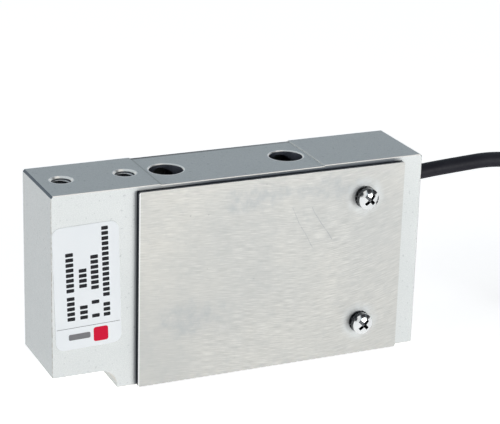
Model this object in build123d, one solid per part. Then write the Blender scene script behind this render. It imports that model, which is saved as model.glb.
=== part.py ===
from build123d import *
import math
import os

# All sizes are in millimetres. X runs from the live end to the fixed end, Y from
# front to back and Z up. The origin is under the middle of the block, on its base.

# Block of the spring body
body_length = 122.0
body_width = 27.0
body_height = 64.0
end_chamfer = 0.6
edge_break = 0.2

# Threaded load holes in the top of the live end, drawn at the thread's outer diameter
load_hole_inset = 7.7
load_hole_pitch = 20.0
load_hole_diameter = 6.0
load_hole_depth = 14.0
load_hole_mouth = 7.0

# Guide beams, each with two thin flexures over or under a cross bore
flexure_pitch = 40.0
flexure_thickness = 1.25
flexure_bore_diameter = 10.0
guide_beam_depth = 9.5
flexure_margin = 7.0
recess_depth = 0.3
access_diameter = 10.5
access_break = 0.2

# Fixed foot under the lower guide beam, and the stops round it
foot_thickness = 8.0
foot_slot = 1.5
slot_end_diameter = 3.0
toe_gap = 1.5
overload_gap = 0.3
base_hole_diameter = 6.6

# Notch under the live end
notch_length = 20.65
notch_height = 6.5
notch_radius = 5.5

# Sensing beam across the middle of the window
sensor_beam_depth = 10.0
sensor_bore_diameter = 7.2
sensor_bore_pitch = 16.0
sensor_slot = 2.0

# Covers, front and rear
cover_length = 88.3
cover_thickness = 1.0
cover_gap = 1.0
cover_end_inset = 7.1
cover_lift = 0.3
cover_top_inset = 1.2
cover_corner_radius = 0.6
pad_width = 10.0

# Cover screws, with a split lock washer and a plain washer under each head
cover_screw_inset = 20.7
cover_screw_low = 11.2
cover_screw_top_inset = 11.0
cover_screw_diameter = 3.5
cover_screw_depth = 7.0
cover_screw_head_diameter = 6.7
cover_screw_head_height = 2.7
cover_screw_hole_clearance = 0.2
head_crown_share = 0.83
washer_diameter = 6.3
washer_bore = 3.7
washer_thickness = 0.8
washer_split = 0.5
plain_washer_diameter = 7.0
plain_washer_thickness = 0.5
cross_recess_length = 4.1
cross_recess_width = 1.05
cross_recess_depth = 1.6

# Strain gauges on the sensing beam
gauge_length = 6.0
gauge_width = 5.0
gauge_thickness = 0.15
gauge_tab = 1.1
gauge_tab_height = 0.1
gauge_tab_pitch = 2.4

# Wiring pocket in the front of the fixed block, and the board in it
pocket_depth = 5.0
pocket_inset = 6.5
pocket_length = 23.0
pocket_drop = 14.5
pocket_height = 25.0
channel_height = 4.0
channel_clearance = 1.0
boss_height = 1.5
boss_diameter = 4.4
board_length = 18.0
board_height = 17.0
board_thickness = 1.0
board_margin = 1.5
board_screw_inset = 2.4
board_screw_pad_clearance = 2.2
board_screw_diameter = 2.0
board_screw_depth = 4.0
board_screw_head_diameter = 3.6
board_screw_head_height = 1.2
resistor_length = 3.2
resistor_width = 1.6
resistor_height = 0.7
resistor_count = 3
resistor_pitch = 3.2
pad_row_inset = 1.2
lead_diameter = 0.5
lead_pitch = 0.6
lead_slant = 3.0
lead_pad_pitch = 1.9

# Cable entry in the fixed end
cable_diameter = 5.0
cable_clearance = 0.2
sleeve_diameter = 8.4
sleeve_length = 8.0
ferrule_diameter = 6.8
ferrule_length = 7.0
ferrule_clearance = 0.05
jacket_overhang = 3.0
cross_hole_shift = 4.5
cross_hole_diameter = 8.0
cross_hole_rise = 3.3
cross_hole_drop = 2.6
set_screw_inset = 12.5
set_screw_diameter = 3.0
set_screw_sink = 1.5
set_screw_socket = 1.5
core_diameter = 0.9
core_spread = 1.7
core_pitch = 1.2
core_dive = 4.0
core_pad_pitch = 2.0
core_names = ["red", "green", "white", "blue"]

# Rating label on the front of the live end
label_width = 20.6
label_height = 39.0
label_thickness = 0.12
label_corner_radius = 2.7
label_inset = 11.05
label_mid_height = 34.75
label_tilt = 1.7

# Running clearance of screws in their holes
thread_clearance = 0.05

# Free cable from the fixed end to the tied hank, point by point: how far it is beyond the
# end face, how far to the rear, and its height as a share of the height where it leaves
cable_run = [
    (0.0, 0.0, 1.0),
    (5.0, 0.0, 1.0),
    (12.0, 0.0, 1.011),
    (22.0, 0.1, 1.021),
    (33.0, 0.3, 1.031),
    (44.0, 0.8, 1.0),
    (55.0, 1.4, 0.885),
    (65.0, 2.1, 0.705),
    (74.5, 2.7, 0.51),
    (86.0, 3.2, 0.35),
    (102.0, 3.5, 0.257),
]
arc_share = 0.45

# Hank of put-away cable, six turns in two columns and three layers
hank_distance = 108.0
hank_y = -4.0
hank_half_run = 37.0
hank_outer_radius = 19.5
hank_columns = 2
hank_layers = 3
hank_slack = 0.3
tie_width = 8.0
tie_thickness = 1.0
tail_length = 20.0
tail_pocket_width = 6.6
end_sleeve_diameter = 6.0
end_sleeve_length = 12.0
end_core_pitch = 1.15
end_core_straight = 3.5
end_core_landing = 11.0
end_core_stagger = 1.5

# Places worked out from the sizes above
live_end = -body_length / 2
fixed_end = body_length / 2
front = -body_width / 2
back = body_width / 2
flexure_x = flexure_pitch / 2
flexure_bore_radius = flexure_bore_diameter / 2
recess_floor = body_height - recess_depth
upper_bore_z = recess_floor - flexure_thickness - flexure_bore_radius
lower_beam_floor = foot_thickness + foot_slot
lower_bore_z = lower_beam_floor + flexure_thickness + flexure_bore_radius
window_top = recess_floor - guide_beam_depth
window_floor = lower_beam_floor + guide_beam_depth
sensor_z = (window_top + window_floor) / 2
sensor_top = sensor_z + sensor_beam_depth / 2
sensor_floor = sensor_z - sensor_beam_depth / 2
sensor_bore_x = sensor_bore_pitch / 2
free_reach = flexure_x + flexure_margin
load_hole_xs = [live_end + load_hole_inset, live_end + load_hole_inset + load_hole_pitch]
cover_screw_x = fixed_end - cover_screw_inset
cover_screw_zs = [cover_screw_low, body_height - cover_screw_top_inset]
cover_right = fixed_end - cover_end_inset
cover_x = cover_right - cover_length / 2
cover_height = body_height - cover_top_inset - cover_lift
cover_z = cover_lift + cover_height / 2
cover_outer = body_width / 2 + cover_gap + cover_thickness
washer_stack = plain_washer_thickness + washer_thickness
pocket_left = flexure_x + pocket_inset
pocket_right = pocket_left + pocket_length
pocket_low = sensor_z - pocket_drop
pocket_top = pocket_low + pocket_height
pocket_floor = front + pocket_depth
boss_top = pocket_floor - boss_height
board_front = boss_top - board_thickness
board_right = pocket_right - board_margin
board_left = board_right - board_length
board_low = pocket_low + board_margin
board_top = board_low + board_height
cross_hole_x = pocket_left + cross_hole_shift
cross_hole_z = pocket_top + cross_hole_rise
cable_height = cross_hole_z + cross_hole_drop
jacket_end = cross_hole_x + jacket_overhang
set_screw_x = fixed_end - set_screw_inset
cable_radius = cable_diameter / 2
cable_route = [(fixed_end + x, y, cable_height * share) for x, y, share in cable_run]
hank_x = fixed_end + hank_distance
hank_columns_r = [hank_outer_radius - cable_diameter * column for column in range(hank_columns)]
hank_top = tie_thickness + hank_layers * cable_diameter + hank_slack
hank_half_width = hank_outer_radius + cable_radius + hank_slack
waist_half_width = hank_columns * cable_diameter + hank_slack


def side_rectangle(x_low, x_high, z_low, z_high):
    """Rectangle in the side view, between two places along X and two along Z."""
    middle = Pos((x_low + x_high) / 2, (z_low + z_high) / 2)
    return Plane.XZ * middle * Rectangle(x_high - x_low, z_high - z_low)


def side_circle(x, z, diameter):
    """Circle in the side view."""
    return Plane.XZ * Pos(x, z) * Circle(diameter / 2)


def across(shape):
    """Solid of a side view's shape, right through the block."""
    return extrude(shape, body_width, both=True)


def block_between(x_low, x_high, y_low, y_high, z_low, z_high):
    """Box between two corners."""
    size = Box(x_high - x_low, y_high - y_low, z_high - z_low)
    return Pos((x_low + x_high) / 2, (y_low + y_high) / 2, (z_low + z_high) / 2) * size


def rod_along_x(x_low, x_high, y, z, diameter):
    """Round bar along X."""
    bar = Cylinder(diameter / 2, x_high - x_low)
    return Pos((x_low + x_high) / 2, y, z) * Rot(0, 90, 0) * bar


def rod_along_y(x, y_low, y_high, z, diameter):
    """Round bar along Y."""
    bar = Cylinder(diameter / 2, y_high - y_low)
    return Pos(x, (y_low + y_high) / 2, z) * Rot(90, 0, 0) * bar


def rod_along_z(x, y, z_low, z_high, diameter):
    """Round bar along Z."""
    bar = Cylinder(diameter / 2, z_high - z_low)
    return Pos(x, y, (z_low + z_high) / 2) * bar


def wire(points, diameter, bend_radius):
    """Round wire along straight runs with rounded corners."""
    path = FilletPolyline(*points, radius=bend_radius)
    section = Plane(path @ 0, z_dir=path % 0) * Circle(diameter / 2)
    return sweep(section, path=path)


def notch_face():
    """Milled notch under the live end, with its one round inner corner."""
    notch = side_rectangle(live_end, live_end + notch_length, 0, notch_height)
    inner = notch.vertices().sort_by(Axis.X)[2:].sort_by(Axis.Z)[-1]
    radius = min(notch_radius, notch_height - edge_break, notch_length - edge_break)
    return fillet(inner, radius)


def window_face():
    """Window between the guide beams with its four flexure bores, less the sensing beam."""
    window = side_rectangle(-flexure_x, flexure_x, window_floor, window_top)
    for x in (-flexure_x, flexure_x):
        for z in (lower_bore_z, upper_bore_z):
            window += side_circle(x, z, flexure_bore_diameter)
    reach = flexure_x + flexure_bore_radius
    window -= side_rectangle(-reach, reach, sensor_floor, sensor_top)
    window += side_rectangle(
        -sensor_bore_x, sensor_bore_x, sensor_z - sensor_slot / 2, sensor_z + sensor_slot / 2
    )
    for x in (-sensor_bore_x, sensor_bore_x):
        window += side_circle(x, sensor_z, sensor_bore_diameter)
    return window


def foot_cuts():
    """Slot over the fixed foot, the gap at its toe and the relief under the live heel."""
    slot = side_rectangle(-free_reach, free_reach, foot_thickness, lower_beam_floor)
    slot += side_circle(free_reach, (foot_thickness + lower_beam_floor) / 2, slot_end_diameter)
    slot += side_rectangle(-free_reach - toe_gap, -free_reach, 0, lower_beam_floor)
    slot += side_rectangle(live_end, -free_reach, 0, overload_gap)
    return slot


def spring_profile():
    """Side view of the spring body."""
    profile = side_rectangle(live_end, fixed_end, 0, body_height)
    profile = chamfer(profile.vertices().sort_by(Axis.Z)[2:], end_chamfer)
    profile -= notch_face()
    profile -= side_rectangle(-free_reach, free_reach, recess_floor, body_height)
    profile -= foot_cuts()
    profile -= window_face()
    return profile


def break_edges(body):
    """Fine break along the block's outer edges, less the milled chamfers over the end faces."""
    long_edges = body.edges().filter_by(Axis.X)
    outer = [edge for edge in long_edges if on_side(edge) and near_top_or_base(edge)]
    for edge in body.edges():
        middle = edge @ 0.5
        at_end = abs(middle.X) > fixed_end - end_chamfer + edge_break / 2
        if at_end and (on_side(edge) or middle.Z < recess_floor - end_chamfer):
            outer.append(edge)
    return chamfer(outer, edge_break)


def on_side(edge):
    """Whether an edge lies in the front or back face."""
    return abs(abs((edge @ 0.5).Y) - back) < edge_break / 2


def near_top_or_base(edge):
    """Whether an edge lies along the block's top or along its base."""
    height = (edge @ 0.5).Z
    return height > recess_floor - edge_break or height < overload_gap + edge_break


def load_hole(x):
    """Blind threaded hole with its drill point and a small countersunk mouth."""
    radius = load_hole_diameter / 2
    bottom = body_height - load_hole_depth
    mouth = (load_hole_mouth - load_hole_diameter) / 2
    hole = rod_along_z(x, 0, bottom, body_height, load_hole_diameter)
    tip = radius / math.tan(math.radians(59))
    hole += Pos(x, 0, bottom - tip / 2) * Cone(0, radius, tip)
    hole += Pos(x, 0, body_height - mouth / 2) * Cone(radius, load_hole_mouth / 2, mouth)
    return hole


def access_hole(x):
    """Drilled line through both guide beams down to the foot, and the bolt hole in the foot."""
    hole = rod_along_z(x, 0, foot_thickness, body_height, access_diameter)
    hole += rod_along_z(x, 0, -foot_thickness, foot_thickness, base_hole_diameter)
    radius = access_diameter / 2
    rim = Cone(radius, radius + access_break, access_break)
    return hole + Pos(x, 0, recess_floor - access_break / 2) * rim


def wiring_pocket():
    """Pocket for the board with its two bosses, and two channels from the window for the leads."""
    pocket = block_between(pocket_left, pocket_right, front, pocket_floor, pocket_low, pocket_top)
    for x, z in board_screw_places():
        pocket -= rod_along_y(x, boss_top, pocket_floor, z, boss_diameter)
    reach = pocket_left - flexure_x
    for z in channel_floors():
        pocket += block_between(
            flexure_x - reach, pocket_left, front, pocket_floor, z, z + channel_height
        )
    return pocket


def channel_floors():
    """Heights of the floors of the two lead channels, clear of the sensing beam."""
    return [
        sensor_floor - channel_clearance - channel_height,
        sensor_top + channel_clearance,
    ]


def board_screw_places():
    """Centres of the board's two screws, in X and Z."""
    return [
        (board_left + board_screw_inset + board_screw_pad_clearance, board_low + board_screw_inset),
        (board_right - board_screw_inset, board_top - board_screw_inset),
    ]


def cable_entry():
    """Stepped bore for the cable in the fixed end, and the cross hole where its cores come out."""
    bore = cable_diameter + 2 * cable_clearance
    entry = rod_along_x(cross_hole_x, fixed_end, 0, cable_height, bore)
    ferrule_end = set_screw_x - ferrule_length / 2
    clamp_bore = ferrule_diameter + 2 * ferrule_clearance
    entry += rod_along_x(ferrule_end, fixed_end, 0, cable_height, clamp_bore)
    entry += rod_along_x(fixed_end - sleeve_length, fixed_end, 0, cable_height, sleeve_diameter)
    entry += rod_along_y(cross_hole_x, front, cable_radius, cross_hole_z, cross_hole_diameter)
    screw_hole = set_screw_diameter + 2 * thread_clearance
    entry += rod_along_y(set_screw_x, front, 0, cable_height, screw_hole)
    return entry


def cover_screw_holes():
    """Threaded holes for the cover screws, from the front and from the back."""
    holes = []
    hole = cover_screw_diameter + 2 * thread_clearance
    depth = cover_screw_depth + cover_screw_diameter / 3
    for z in cover_screw_zs:
        holes.append(rod_along_y(cover_screw_x, front, front + depth, z, hole))
        holes.append(rod_along_y(cover_screw_x, back - depth, back, z, hole))
    return holes


def spring_body():
    """One-piece aluminium spring body: live block, two guide beams, sensing beam, fixed block and foot."""
    body = extrude(spring_profile(), body_width / 2, both=True)
    body = break_edges(body)
    for x in load_hole_xs:
        body -= load_hole(x)
    for x in (-flexure_x, flexure_x):
        body -= access_hole(x)
    body -= wiring_pocket()
    for x, z in board_screw_places():
        hole = board_screw_diameter + 2 * thread_clearance
        deep = boss_top + board_screw_depth + board_screw_diameter / 2
        body -= rod_along_y(x, boss_top, deep, z, hole)
    body -= cable_entry()
    for hole in cover_screw_holes():
        body -= hole
    return body


def cover(side):
    """Flat cover plate on one side, -1 at the front and 1 at the back, with its two screw holes."""
    outline = Rectangle(cover_length, cover_height)
    outline = fillet(outline.vertices(), cover_corner_radius)
    hole = cover_screw_diameter + 2 * cover_screw_hole_clearance
    for z in cover_screw_zs:
        outline -= Pos(cover_screw_x - cover_x, z - cover_z) * Circle(hole / 2)
    plate = extrude(Plane.XZ * outline, cover_thickness / 2, both=True)
    return Pos(cover_x, side * (cover_outer - cover_thickness / 2), cover_z) * plate


def cover_pads(side):
    """Two square distance pads that hold a cover off the fixed block."""
    pads = []
    hole = cover_screw_diameter + 2 * cover_screw_hole_clearance
    for z in cover_screw_zs:
        pad = Box(pad_width, cover_gap, pad_width) - Rot(90, 0, 0) * Cylinder(hole / 2, cover_gap)
        pads.append(Pos(cover_screw_x, side * (back + cover_gap / 2), z) * pad)
    return pads


def pan_head_screw(diameter, shank_length, head_diameter, head_height, recess):
    """Cross-recessed pan head screw along Z, with its seat at zero and its head above."""
    radius = head_diameter / 2
    crown_radius = head_crown_share * head_diameter
    crown_centre = head_height - crown_radius
    side_height = crown_centre + math.sqrt(crown_radius**2 - radius**2)
    half_way = crown_centre + math.sqrt(crown_radius**2 - (radius / 2) ** 2)
    outline = Line((0, -shank_length), (diameter / 2 - 0.2, -shank_length))
    outline += Line((diameter / 2 - 0.2, -shank_length), (diameter / 2, 0.2 - shank_length))
    outline += Line((diameter / 2, 0.2 - shank_length), (diameter / 2, 0))
    outline += Line((diameter / 2, 0), (radius, 0))
    outline += Line((radius, 0), (radius, side_height))
    outline += ThreePointArc((radius, side_height), (radius / 2, half_way), (0, head_height))
    outline += Line((0, head_height), (0, -shank_length))
    screw = revolve(Plane.XZ * make_face(outline), Axis.Z)
    length, width, depth = recess
    for turn in (45, 135):
        slot = Box(length, width, depth, align=(Align.CENTER, Align.CENTER, Align.MAX))
        screw -= Pos(0, 0, head_height) * Rot(0, 0, turn) * slot
    return screw


def facing(side):
    """Turn that lays a piece made along Z on its side, with its top away from the body."""
    return Rot(-90 * side, 0, 0)


def cover_screws(side):
    """The two screws of one cover."""
    recess = (cross_recess_length, cross_recess_width, cross_recess_depth)
    grip = cover_gap + cover_thickness + washer_stack
    screws = []
    for z in cover_screw_zs:
        screw = pan_head_screw(
            cover_screw_diameter,
            grip + cover_screw_depth,
            cover_screw_head_diameter,
            cover_screw_head_height,
            recess,
        )
        seat = side * (cover_outer + washer_stack)
        screws.append(Pos(cover_screw_x, seat, z) * facing(side) * screw)
    return screws


def lock_washers(side):
    """Split lock washers under the heads of one cover's screws."""
    washers = []
    for z in cover_screw_zs:
        ring = Cylinder(washer_diameter / 2, washer_thickness)
        ring -= Cylinder(washer_bore / 2, washer_thickness)
        cut = Box(washer_diameter, washer_split, 3 * washer_thickness)
        ring -= Pos(washer_diameter / 2, 0, 0) * Rot(30, 0, 0) * cut
        seat = side * (cover_outer + plain_washer_thickness + washer_thickness / 2)
        washers.append(Pos(cover_screw_x, seat, z) * facing(side) * Rot(0, 0, 160) * ring)
    return washers


def plain_washers(side):
    """Plain washers between one cover and its lock washers."""
    ring = Cylinder(plain_washer_diameter / 2, plain_washer_thickness)
    ring -= Cylinder(washer_bore / 2, plain_washer_thickness)
    seat = side * (cover_outer + plain_washer_thickness / 2)
    return [Pos(cover_screw_x, seat, z) * facing(side) * ring for z in cover_screw_zs]


def gauge_places():
    """Name, place along X, seat height and facing of each strain gauge."""
    return [
        ("gauge_top_live", -sensor_bore_x, sensor_top, 1),
        ("gauge_top_fixed", sensor_bore_x, sensor_top, 1),
        ("gauge_bottom_live", -sensor_bore_x, sensor_floor, -1),
        ("gauge_bottom_fixed", sensor_bore_x, sensor_floor, -1),
    ]


def strain_gauge(x, seat, up):
    """Foil strain gauge bonded to the sensing beam, with two solder tabs at its front edge."""
    film = Box(gauge_length, gauge_width, gauge_thickness)
    gauge = Pos(x, 0, seat + up * gauge_thickness / 2) * film
    tab_z = seat + up * (gauge_thickness + gauge_tab_height / 2)
    for shift in (-gauge_tab_pitch / 2, gauge_tab_pitch / 2):
        tab = Box(gauge_tab, gauge_tab, gauge_tab_height)
        gauge += Pos(x + shift, gauge_tab_y(), tab_z) * tab
    return gauge


def gauge_tab_y():
    """Place of the solder tabs across the sensing beam."""
    return -gauge_width / 2 + gauge_tab


def gauge_leads(up):
    """Four insulated leads from the gauges above or below the sensing beam to the board's edge."""
    seat = sensor_top if up > 0 else sensor_floor
    height = seat + up * (gauge_thickness + gauge_tab_height + lead_diameter / 2)
    channel = channel_floors()[1 if up > 0 else 0] + channel_height / 2
    tab_xs = [
        x + shift
        for x in (-sensor_bore_x, sensor_bore_x)
        for shift in (-gauge_tab_pitch / 2, gauge_tab_pitch / 2)
    ]
    pad_y = board_front - lead_diameter / 2
    board_middle = (board_low + board_top) / 2
    leads = []
    for i, tab_x in enumerate(tab_xs):
        y = pad_y - lead_pitch * i
        pad_z = board_middle + up * lead_pad_pitch * (i + 0.5)
        drop_x = pocket_left + lead_diameter + 0.75 * lead_diameter * i
        route = [
            (tab_x, gauge_tab_y(), height),
            (tab_x, y + 1, height),
            (tab_x + lead_slant, y, channel),
            (drop_x, y, channel),
            (drop_x, y, pad_z),
            (board_left + pad_row_inset, pad_y, pad_z),
        ]
        leads.append(wire(route, lead_diameter, 0.6))
    return leads


def bridge_board():
    """Small circuit board with its two screw holes."""
    board = block_between(board_left, board_right, board_front, boss_top, board_low, board_top)
    hole = board_screw_diameter + 2 * thread_clearance
    for x, z in board_screw_places():
        board -= rod_along_y(x, board_front, boss_top, z, hole)
    return board


def board_screws():
    """The two small screws that hold the board to its bosses."""
    recess = (0.6 * board_screw_head_diameter, 0.5, 0.6 * board_screw_head_height)
    screws = []
    for x, z in board_screw_places():
        screw = pan_head_screw(
            board_screw_diameter,
            board_thickness + board_screw_depth,
            board_screw_head_diameter,
            board_screw_head_height,
            recess,
        )
        screws.append(Pos(x, board_front, z) * facing(-1) * screw)
    return screws


def trim_resistors():
    """Row of trimming resistors on the board."""
    middle = (board_left + board_right) / 2 + resistor_length / 2
    first = (board_low + board_top) / 2 - resistor_pitch * (resistor_count - 1) / 2
    y = board_front - resistor_height / 2
    size = Box(resistor_length, resistor_height, resistor_width)
    return [Pos(middle, y, first + resistor_pitch * i) * size for i in range(resistor_count)]


def cable_sleeve():
    """Rubber sleeve round the cable in the mouth of its bore, flush with the end face."""
    sleeve = rod_along_x(fixed_end - sleeve_length, fixed_end, 0, cable_height, sleeve_diameter)
    return sleeve - rod_along_x(
        fixed_end - sleeve_length, fixed_end, 0, cable_height, cable_diameter
    )


def cable_ferrule():
    """Brass ferrule crimped on the cable, which the set screw presses on."""
    low = set_screw_x - ferrule_length / 2
    high = fixed_end - sleeve_length
    ferrule = rod_along_x(low, high, 0, cable_height, ferrule_diameter)
    return ferrule - rod_along_x(low, high, 0, cable_height, cable_diameter)


def cable_set_screw():
    """Socket set screw that clamps the ferrule, under the front cover."""
    outer = front + set_screw_sink
    inner = -ferrule_diameter / 2
    screw = rod_along_y(set_screw_x, outer, inner, cable_height, set_screw_diameter)
    socket = extrude(RegularPolygon(set_screw_socket / 2, 6, major_radius=False), set_screw_socket)
    return screw - Pos(set_screw_x, outer, cable_height) * Rot(-90, 0, 0) * socket


def cable_inner_end():
    """End of the cable's jacket inside the block."""
    return rod_along_x(jacket_end, fixed_end, 0, cable_height, cable_diameter)


def inner_core(i):
    """One of the cable's cores, from the end of the jacket to its pad at the board's top edge."""
    row = i // 2
    y = core_spread / 2 * (1 if row == 0 else -1)
    z = cable_height + core_spread / 2 * (1 if i % 2 else -1)
    x = cross_hole_x - 1.5 * core_pitch + core_pitch * i
    front_y = board_front - core_diameter * (0.6 + 1.1 * (i % 2))
    pad_x = board_left + pad_row_inset + core_pad_pitch * (i + 0.5)
    bend_z = pocket_top - core_diameter / 2
    route = [
        (jacket_end, y, z),
        (x, y, z),
        (x, -core_dive, cross_hole_z),
        (x, front_y, cross_hole_z),
        (x, front_y, bend_z),
        (pad_x, front_y, board_top + 1.5),
        (pad_x, board_front - core_diameter / 2, board_top - pad_row_inset),
    ]
    return wire(route, core_diameter, 0.7)


def rating_label():
    """Thin self-adhesive label on the front of the live end, stuck on slightly askew and bare."""
    outline = Rectangle(label_width, label_height)
    outline = fillet(outline.vertices(), label_corner_radius)
    sheet = extrude(Plane.XZ * outline, label_thickness / 2, both=True)
    place = Pos(live_end + label_inset, front - label_thickness / 2, label_mid_height)
    return place * Rot(0, -label_tilt, 0) * sheet


def route_radii(points):
    """Bend radius at each inner corner, as large as its two runs allow."""
    radii = []
    for before, corner, after in zip(points, points[1:], points[2:]):
        run_in = Vector(*corner) - Vector(*before)
        run_out = Vector(*after) - Vector(*corner)
        half_turn = math.radians(run_in.get_angle(run_out)) / 2
        shorter = min(run_in.length, run_out.length)
        radii.append(arc_share * shorter / math.tan(half_turn))
    return radii


def signal_cable():
    """Free cable from the fixed end down to the hank."""
    path = FilletPolyline(*cable_route, radius=route_radii(cable_route))
    section = Plane(path @ 0, z_dir=path % 0) * Circle(cable_radius)
    return sweep(section, path=path)


def hank_outline(spread):
    """Plan of the hank: two round end loops joined by a narrow tied waist."""
    ends = [Pos(side * hank_half_run, 0) * Circle(hank_half_width + spread) for side in (-1, 1)]
    flare = hank_half_run - tie_width
    corners = [
        (-hank_half_run, hank_half_width + spread),
        (-tie_width, waist_half_width + spread),
        (tie_width, waist_half_width + spread),
        (hank_half_run, hank_half_width + spread),
    ]
    corners += [(x, -y) for x, y in reversed(corners)]
    return make_face(Polyline(*corners, close=True)) + ends


def cable_hank():
    """Put-away cable, tied at its waist, as one solid of its outer shape."""
    hank = Pos(hank_x, hank_y, 0) * extrude(hank_outline(0), hank_top)
    inner = hank_columns_r[-1] - cable_radius - hank_slack
    for side in (-1, 1):
        x = hank_x + side * hank_half_run
        hank -= rod_along_z(x, hank_y, 0, hank_top, 2 * inner)
    hank -= block_between(
        hank_x - tie_width / 2,
        hank_x + tie_width / 2,
        hank_y - hank_half_width,
        hank_y + hank_half_width,
        0,
        tie_thickness,
    )
    hank -= tail_pocket()
    return hank - signal_cable()


def tail_line():
    """Start and end in plan of the cable's tail, along the inner column's last half turn."""
    start = (hank_x - tie_width, hank_y - cable_radius)
    lean = math.atan2(hank_columns_r[-1] - cable_radius, hank_half_run - tie_width)
    length = end_sleeve_length + tail_length
    end = (start[0] - length * math.cos(lean), start[1] - length * math.sin(lean))
    return start, end, math.degrees(lean)


def tail_floor():
    """Height that the tail rests on, on the layer under the top one."""
    return hank_top - cable_diameter - hank_slack


def along_tail(distance, shift, z):
    """Place of a point so far along the tail and so far across it."""
    start, _, lean = tail_line()
    return Pos(start[0], start[1], z) * Rot(0, 0, 180 + lean) * Pos(distance, shift, 0)


def tail_pocket():
    """Room on the hank's top for the sleeve and the stripped cores."""
    length = end_sleeve_length + tail_length
    room = Box(length, tail_pocket_width, cable_diameter * 2, align=(Align.MIN, Align.CENTER, Align.MIN))
    return along_tail(0, 0, tail_floor()) * room


def cable_end_sleeve():
    """Shrink sleeve over the end of the jacket."""
    radius = end_sleeve_diameter / 2
    tube = Cylinder(radius, end_sleeve_length, align=(Align.CENTER, Align.CENTER, Align.MIN))
    return along_tail(0, 0, tail_floor() + radius) * Rot(0, 90, 0) * tube


def end_core(i):
    """One stripped core beyond the shrink sleeve, fanned out on the hank."""
    place = along_tail(0, 0, 0)
    low = tail_floor() + core_diameter / 2
    middle = tail_floor() + end_sleeve_diameter / 2
    side = -1 if i < 2 else 1
    rise = 1 if i in (1, 2) else -1
    spread = 0.62 * core_diameter
    shift = end_core_pitch * (i - 1.5)
    start = end_sleeve_length
    route = [
        (start, side * spread, middle + rise * spread),
        (start + end_core_straight + end_core_stagger * rise, side * spread, middle + rise * spread),
        (start + end_core_landing + end_core_stagger * rise, shift, low),
        (start + tail_length - end_core_stagger * (1 + i % 2), shift * 1.1, low),
    ]
    return place * wire(route, core_diameter, 2)


def hank_tie():
    """Strap round the waist of the hank."""
    outer = Box(
        tie_width, 2 * (waist_half_width + tie_thickness), hank_top + tie_thickness
    )
    inner = Box(tie_width, 2 * waist_half_width, hank_top - tie_thickness)
    strap = fillet(outer.edges().filter_by(Axis.X), tie_thickness) - inner
    return Pos(hank_x, hank_y, (hank_top + tie_thickness) / 2) * strap


def build_nodes():
    """Every node of the load cell by name."""
    nodes = {
        "spring_body": spring_body(),
        "front_cover": cover(-1),
        "rear_cover": cover(1),
        "front_cover_pads": cover_pads(-1),
        "rear_cover_pads": cover_pads(1),
        "front_cover_screws": cover_screws(-1),
        "rear_cover_screws": cover_screws(1),
        "front_lock_washers": lock_washers(-1),
        "rear_lock_washers": lock_washers(1),
        "front_plain_washers": plain_washers(-1),
        "rear_plain_washers": plain_washers(1),
        "gauge_leads_top": gauge_leads(1),
        "gauge_leads_bottom": gauge_leads(-1),
        "bridge_board": bridge_board(),
        "board_screws": board_screws(),
        "trim_resistors": trim_resistors(),
        "cable_sleeve": cable_sleeve(),
        "cable_ferrule": cable_ferrule(),
        "cable_set_screw": cable_set_screw(),
        "cable_inner_end": cable_inner_end(),
        "rating_label": rating_label(),
        "signal_cable": signal_cable(),
        "cable_hank": cable_hank(),
        "hank_tie": hank_tie(),
        "cable_end_sleeve": cable_end_sleeve(),
    }
    for name, x, seat, up in gauge_places():
        nodes[name] = strain_gauge(x, seat, up)
    for i, name in enumerate(core_names):
        nodes["inner_core_" + name] = inner_core(i)
        nodes["end_core_" + name] = end_core(i)
    return nodes


os.makedirs("parts", exist_ok=True)
print("cable bend radii:", [round(radius, 1) for radius in route_radii(cable_route)])
for name, piece in build_nodes().items():
    solids = piece if isinstance(piece, list) else [piece]
    solids = [solid for shape in solids for solid in shape.solids()]
    export_step(Compound(solids) if len(solids) > 1 else solids[0], f"parts/{name}.step")
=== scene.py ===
import math

import bpy
from mathutils import Matrix, Vector


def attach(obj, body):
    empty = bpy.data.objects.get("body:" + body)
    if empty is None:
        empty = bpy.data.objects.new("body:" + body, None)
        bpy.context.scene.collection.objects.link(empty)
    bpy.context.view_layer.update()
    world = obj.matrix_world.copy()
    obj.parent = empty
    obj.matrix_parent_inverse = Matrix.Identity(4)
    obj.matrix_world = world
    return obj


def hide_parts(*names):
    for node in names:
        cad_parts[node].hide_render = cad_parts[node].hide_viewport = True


# Everything is in metres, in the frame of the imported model.
MM = 0.001

# Camera, at the photograph's angle
CAMERA_PLACE = (-0.2177, -0.4965, 0.2416)
CAMERA_AZIMUTH = -24.48
CAMERA_ELEVATION = 19.68
CAMERA_ROLL = 1.65
LENS = 133.75
SENSOR_WIDTH = 36.0

# Free cable: the route of its first run, in millimetres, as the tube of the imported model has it
CABLE_ROUTE = [
    (61.0, 0.0, 53.0),
    (66.0, 0.0, 53.0),
    (73.0, 0.0, 53.6),
    (83.0, 0.1, 54.1),
    (94.0, 0.3, 54.6),
    (105.0, 0.8, 53.0),
    (116.0, 1.4, 46.9),
    (126.0, 2.1, 37.4),
    (135.5, 2.7, 27.0),
    (147.0, 3.2, 18.6),
    (163.0, 3.5, 13.6),
]
CABLE_DIAMETER = 5.0

# Hank: six turns in two columns and three layers, each turn with a loop at either end
HANK_X = 169.0
HANK_Y = -4.0
HANK_HALF_RUN = 37.0
HANK_WAIST = 8.0
LOOP_RADII = (20.0, 15.0)
WAIST_OFFSETS = (7.5, 2.5)
LOOP_REACH = 105.0
LOOP_POINTS = 10
LAYER_FLOOR = 3.5
LOOP_SAG = 0.7
# Column (0 is the outer one) and layer of each turn, in the order that they are wound
HANK_TURNS = [(0, 2), (0, 1), (0, 0), (1, 0), (1, 1), (1, 2)]
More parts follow.
